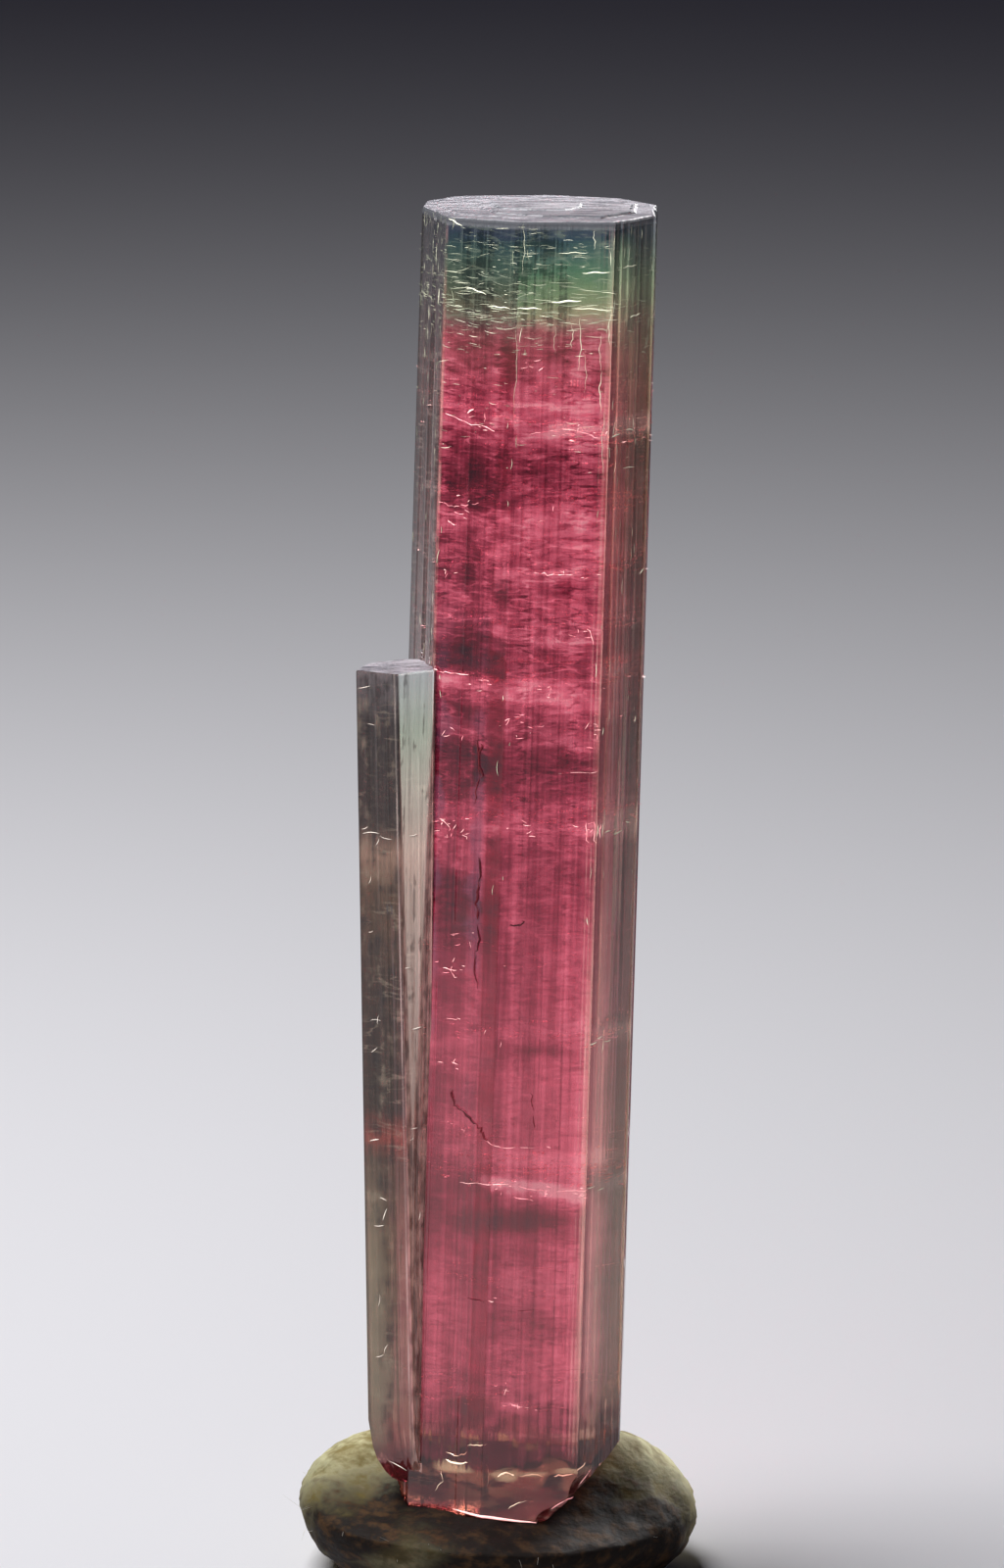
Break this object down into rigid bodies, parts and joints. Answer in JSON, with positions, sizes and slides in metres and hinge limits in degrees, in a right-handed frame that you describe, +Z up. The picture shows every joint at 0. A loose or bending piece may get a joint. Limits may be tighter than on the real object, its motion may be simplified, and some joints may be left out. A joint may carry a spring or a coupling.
{
  "type": "watermelon tourmaline crystal",
  "caption": "Tall striated tourmaline crystal with a green-capped pink body and a thinner crystal grown onto its side, standing in a lump of mounting putty.",
  "frame": {"origin": "on the surface that the putty rests on, under the middle of the whole part", "axes": "+Z up along the crystal, -Y the way its broad front faces look, and the side crystal at -X"},
  "size_m": [0.0154, 0.0128, 0.0534],
  "materials": {
    "tourmaline": "glassy faces with fine lengthwise striations, a dull etched top",
    "putty": "soft olive putty, dull with a slight sheen"
  },
  "bodies": {
    "root": {"tourmaline_crystal": "tourmaline", "mounting_putty": "putty"}
  },
  "joints": []
}
